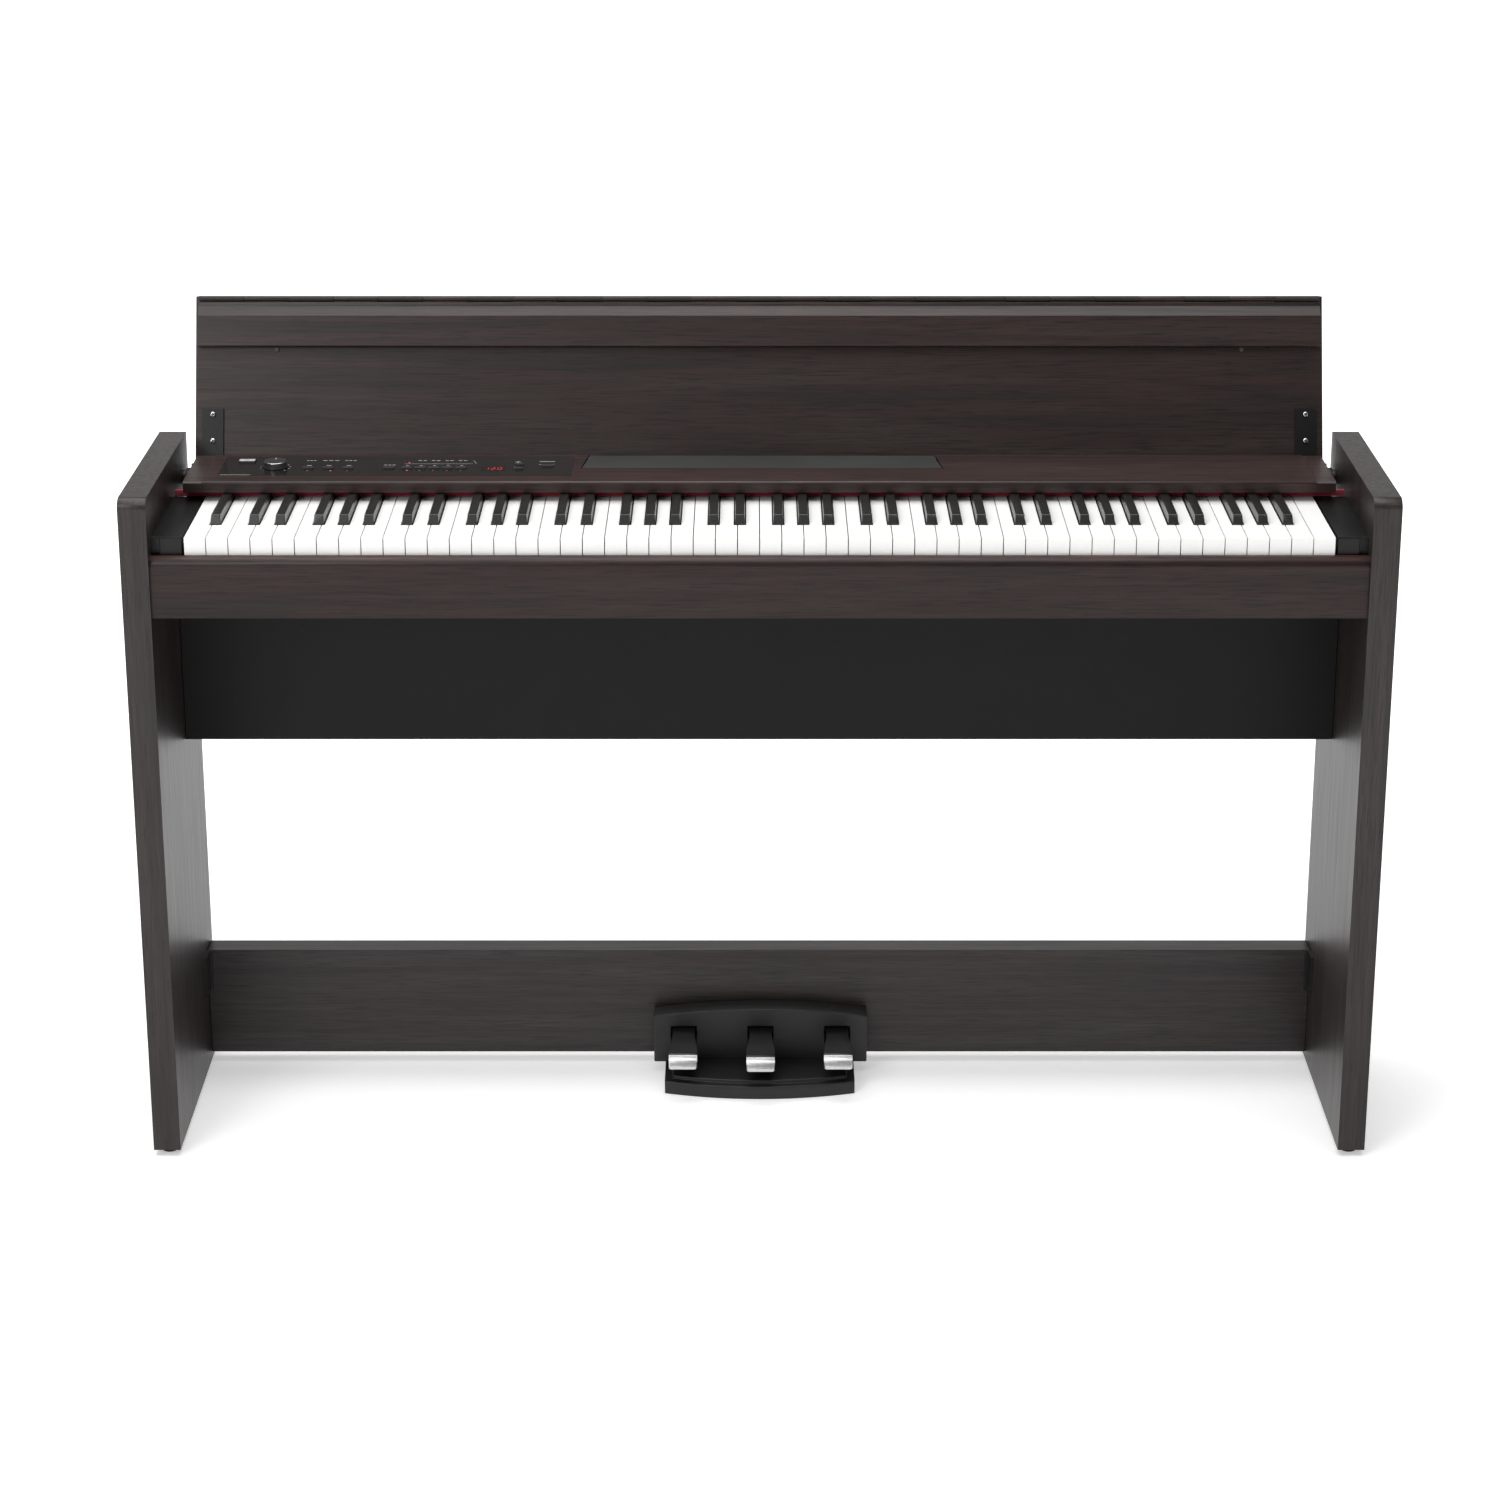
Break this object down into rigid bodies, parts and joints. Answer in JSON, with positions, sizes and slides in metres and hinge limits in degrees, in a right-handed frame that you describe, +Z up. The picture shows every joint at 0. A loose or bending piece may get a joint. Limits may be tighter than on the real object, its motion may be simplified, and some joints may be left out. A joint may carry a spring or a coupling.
{
  "type": "digital piano on stand",
  "caption": "Console digital piano on its own stand with working keys, folding lid and flap, music rest, controls and three pedals.",
  "frame": {"origin": "centre of the overall box with the lid open, on the floor", "axes": "+X to the player's right along the keyboard, +Y from the player to the back, +Z up"},
  "size_m": [1.355, 0.3402, 0.9118],
  "materials": {
    "rosewood": "dark rosewood-grain laminate, satin",
    "particle_board": "plain board",
    "black_board": "black laminate, satin",
    "black_rubber": "matt",
    "black_steel": "black, satin",
    "zinc_steel": "plated sheet",
    "bright_steel": "bright",
    "black_plastic": "moulded, fine texture",
    "red_felt": "felt",
    "gloss_black": "gloss",
    "display": "dark red window",
    "button_black": "satin",
    "rest_plastic": "satin dark grey",
    "pale_rubber": "soft pad",
    "pedal_chrome": "polished",
    "circuit_board": "solder mask",
    "key_white": "satin white",
    "key_black": "satin black"
  },
  "bodies": {
    "cabinet": {"side_panel_left": "rosewood", "side_panel_right": "rosewood", "key_slip": "rosewood", "keybed": "particle_board", "modesty_panel": "black_board", "pedal_board": "rosewood", "feet": "black_rubber", "corner_brackets": "black_steel", "rear_cover": "black_board", "key_frame": "zinc_steel", "key_pivot_shaft": "bright_steel", "key_springs": "bright_steel", "cheek_blocks": "black_plastic", "name_felt": "red_felt", "control_panel": "rosewood", "control_overlay": "gloss_black", "display_window": "display", "hinge_housings": "rosewood", "pedal_housing": "black_plastic", "pedal_base": "black_plastic", "pedal_shaft": "bright_steel", "pedal_springs": "bright_steel", "main_board": "circuit_board", "speakers": "black_plastic", "socket_blocks": "black_plastic"},
    "lid": {"lid": "rosewood", "flap_hinge": "black_steel", "lid_hinge_brackets": "black_steel", "lid_bumpers": "pale_rubber"},
    "flap": {"lid_flap": "rosewood"},
    "rest": {"music_rest": "rest_plastic"},
    "knob": {"volume_knob": "black_plastic"},
    "power": {"power_button": "button_black"},
    "pedal_l": {"pedal_left": "pedal_chrome"},
    "pedal_c": {"pedal_center": "pedal_chrome"},
    "pedal_r": {"pedal_right": "pedal_chrome"},
    "touch_key": {"touch_button": "button_black"},
    "reverb_key": {"reverb_button": "button_black"},
    "metronome_key": {"metronome_button": "button_black"},
    "song_key": {"song_button": "button_black"},
    "sound_key_1": {"sound_button_1": "button_black"},
    "sound_key_2": {"sound_button_2": "button_black"},
    "sound_key_3": {"sound_button_3": "button_black"},
    "sound_key_4": {"sound_button_4": "button_black"},
    "sound_key_5": {"sound_button_5": "button_black"},
    "value_up_key": {"value_up_button": "button_black"},
    "value_down_key": {"value_down_button": "button_black"},
    "record_key": {"record_button": "button_black"},
    "keys_c_body": {"keys_c": "key_white"},
    "keys_d_body": {"keys_d": "key_white"},
    "keys_e_body": {"keys_e": "key_white"},
    "keys_f_body": {"keys_f": "key_white"},
    "keys_g_body": {"keys_g": "key_white"},
    "keys_a_body": {"keys_a": "key_white"},
    "keys_b_body": {"keys_b": "key_white"},
    "keys_c_sharp_body": {"keys_c_sharp": "key_black"},
    "keys_d_sharp_body": {"keys_d_sharp": "key_black"},
    "keys_f_sharp_body": {"keys_f_sharp": "key_black"},
    "keys_g_sharp_body": {"keys_g_sharp": "key_black"},
    "keys_a_sharp_body": {"keys_a_sharp": "key_black"}
  },
  "joints": [
    {"name": "lid_turn", "type": "hinge", "parent": "cabinet", "child": "lid", "pos_m": [0, 0.06411, 0.725], "axis": [-1, 0, 0], "range_deg": [-108.45, 0]},
    {"name": "flap_fold", "type": "hinge", "parent": "lid", "child": "flap", "pos_m": [0, 0.15463, 0.9088], "axis": [1, 0, 0], "range_deg": [-120, 0]},
    {"name": "rest_raise", "type": "hinge", "parent": "cabinet", "child": "rest", "pos_m": [0.003, 0.08091, 0.7413], "axis": [-1, 0, 0], "range_deg": [0, 105]},
    {"name": "volume_turn", "type": "hinge", "parent": "cabinet", "child": "knob", "pos_m": [-0.539, 0.03591, 0.744], "axis": [0, 0, -1], "range_deg": [0, 300]},
    {"name": "power_press", "type": "slide", "parent": "cabinet", "child": "power", "axis": [0, 0, -1], "range_m": [0, 0.0015], "stiffness_N_per_m": 300, "springref_m": -0.001},
    {"name": "touch_press", "type": "slide", "parent": "cabinet", "child": "touch_key", "axis": [0, 0, -1], "range_m": [0, 0.0015], "stiffness_N_per_m": 300, "springref_m": -0.001},
    {"name": "reverb_press", "type": "slide", "parent": "cabinet", "child": "reverb_key", "axis": [0, 0, -1], "range_m": [0, 0.0015], "stiffness_N_per_m": 300, "springref_m": -0.001},
    {"name": "metronome_press", "type": "slide", "parent": "cabinet", "child": "metronome_key", "axis": [0, 0, -1], "range_m": [0, 0.0015], "stiffness_N_per_m": 300, "springref_m": -0.001},
    {"name": "song_press", "type": "slide", "parent": "cabinet", "child": "song_key", "axis": [0, 0, -1], "range_m": [0, 0.0015], "stiffness_N_per_m": 300, "springref_m": -0.001},
    {"name": "sound_press_1", "type": "slide", "parent": "cabinet", "child": "sound_key_1", "axis": [0, 0, -1], "range_m": [0, 0.0015], "stiffness_N_per_m": 300, "springref_m": -0.001},
    {"name": "sound_press_2", "type": "slide", "parent": "cabinet", "child": "sound_key_2", "axis": [0, 0, -1], "range_m": [0, 0.0015], "stiffness_N_per_m": 300, "springref_m": -0.001},
    {"name": "sound_press_3", "type": "slide", "parent": "cabinet", "child": "sound_key_3", "axis": [0, 0, -1], "range_m": [0, 0.0015], "stiffness_N_per_m": 300, "springref_m": -0.001},
    {"name": "sound_press_4", "type": "slide", "parent": "cabinet", "child": "sound_key_4", "axis": [0, 0, -1], "range_m": [0, 0.0015], "stiffness_N_per_m": 300, "springref_m": -0.001},
    {"name": "sound_press_5", "type": "slide", "parent": "cabinet", "child": "sound_key_5", "axis": [0, 0, -1], "range_m": [0, 0.0015], "stiffness_N_per_m": 300, "springref_m": -0.001},
    {"name": "value_up_press", "type": "slide", "parent": "cabinet", "child": "value_up_key", "axis": [0, 0, -1], "range_m": [0, 0.0015], "stiffness_N_per_m": 300, "springref_m": -0.001},
    {"name": "value_down_press", "type": "slide", "parent": "cabinet", "child": "value_down_key", "axis": [0, 0, -1], "range_m": [0, 0.0015], "stiffness_N_per_m": 300, "springref_m": -0.001},
    {"name": "record_press", "type": "slide", "parent": "cabinet", "child": "record_key", "axis": [0, 0, -1], "range_m": [0, 0.0015], "stiffness_N_per_m": 300, "springref_m": -0.001},
    {"name": "keys_c_press", "type": "hinge", "parent": "cabinet", "child": "keys_c_body", "pos_m": [0, 0.06791, 0.701], "axis": [1, 0, 0], "range_deg": [0, 2.6], "stiffness_Nm_per_rad": 8, "springref_deg": -11.46},
    {"name": "keys_d_press", "type": "hinge", "parent": "cabinet", "child": "keys_d_body", "pos_m": [0, 0.06791, 0.701], "axis": [1, 0, 0], "range_deg": [0, 2.6], "stiffness_Nm_per_rad": 8, "springref_deg": -11.46},
    {"name": "keys_e_press", "type": "hinge", "parent": "cabinet", "child": "keys_e_body", "pos_m": [0, 0.06791, 0.701], "axis": [1, 0, 0], "range_deg": [0, 2.6], "stiffness_Nm_per_rad": 8, "springref_deg": -11.46},
    {"name": "keys_f_press", "type": "hinge", "parent": "cabinet", "child": "keys_f_body", "pos_m": [0, 0.06791, 0.701], "axis": [1, 0, 0], "range_deg": [0, 2.6], "stiffness_Nm_per_rad": 8, "springref_deg": -11.46},
    {"name": "keys_g_press", "type": "hinge", "parent": "cabinet", "child": "keys_g_body", "pos_m": [0, 0.06791, 0.701], "axis": [1, 0, 0], "range_deg": [0, 2.6], "stiffness_Nm_per_rad": 8, "springref_deg": -11.46},
    {"name": "keys_a_press", "type": "hinge", "parent": "cabinet", "child": "keys_a_body", "pos_m": [0, 0.06791, 0.701], "axis": [1, 0, 0], "range_deg": [0, 2.6], "stiffness_Nm_per_rad": 8, "springref_deg": -11.46},
    {"name": "keys_b_press", "type": "hinge", "parent": "cabinet", "child": "keys_b_body", "pos_m": [0, 0.06791, 0.701], "axis": [1, 0, 0], "range_deg": [0, 2.6], "stiffness_Nm_per_rad": 8, "springref_deg": -11.46},
    {"name": "keys_c_sharp_press", "type": "hinge", "parent": "cabinet", "child": "keys_c_sharp_body", "pos_m": [0, 0.06791, 0.701], "axis": [1, 0, 0], "range_deg": [0, 2.6], "stiffness_Nm_per_rad": 8, "springref_deg": -11.46},
    {"name": "keys_d_sharp_press", "type": "hinge", "parent": "cabinet", "child": "keys_d_sharp_body", "pos_m": [0, 0.06791, 0.701], "axis": [1, 0, 0], "range_deg": [0, 2.6], "stiffness_Nm_per_rad": 8, "springref_deg": -11.46},
    {"name": "keys_f_sharp_press", "type": "hinge", "parent": "cabinet", "child": "keys_f_sharp_body", "pos_m": [0, 0.06791, 0.701], "axis": [1, 0, 0], "range_deg": [0, 2.6], "stiffness_Nm_per_rad": 8, "springref_deg": -11.46},
    {"name": "keys_g_sharp_press", "type": "hinge", "parent": "cabinet", "child": "keys_g_sharp_body", "pos_m": [0, 0.06791, 0.701], "axis": [1, 0, 0], "range_deg": [0, 2.6], "stiffness_Nm_per_rad": 8, "springref_deg": -11.46},
    {"name": "keys_a_sharp_press", "type": "hinge", "parent": "cabinet", "child": "keys_a_sharp_body", "pos_m": [0, 0.06791, 0.701], "axis": [1, 0, 0], "range_deg": [0, 2.6], "stiffness_Nm_per_rad": 8, "springref_deg": -11.46},
    {"name": "pedal_l_press", "type": "hinge", "parent": "cabinet", "child": "pedal_l", "pos_m": [-0.088, 0.05191, 0.054], "axis": [1, 0, 0], "range_deg": [0, 7], "stiffness_Nm_per_rad": 12, "springref_deg": -6.88},
    {"name": "pedal_c_press", "type": "hinge", "parent": "cabinet", "child": "pedal_c", "pos_m": [0.002, 0.05191, 0.054], "axis": [1, 0, 0], "range_deg": [0, 7], "stiffness_Nm_per_rad": 12, "springref_deg": -6.88},
    {"name": "pedal_r_press", "type": "hinge", "parent": "cabinet", "child": "pedal_r", "pos_m": [0.092, 0.05191, 0.054], "axis": [1, 0, 0], "range_deg": [0, 7], "stiffness_Nm_per_rad": 12, "springref_deg": -6.88}
  ]
}
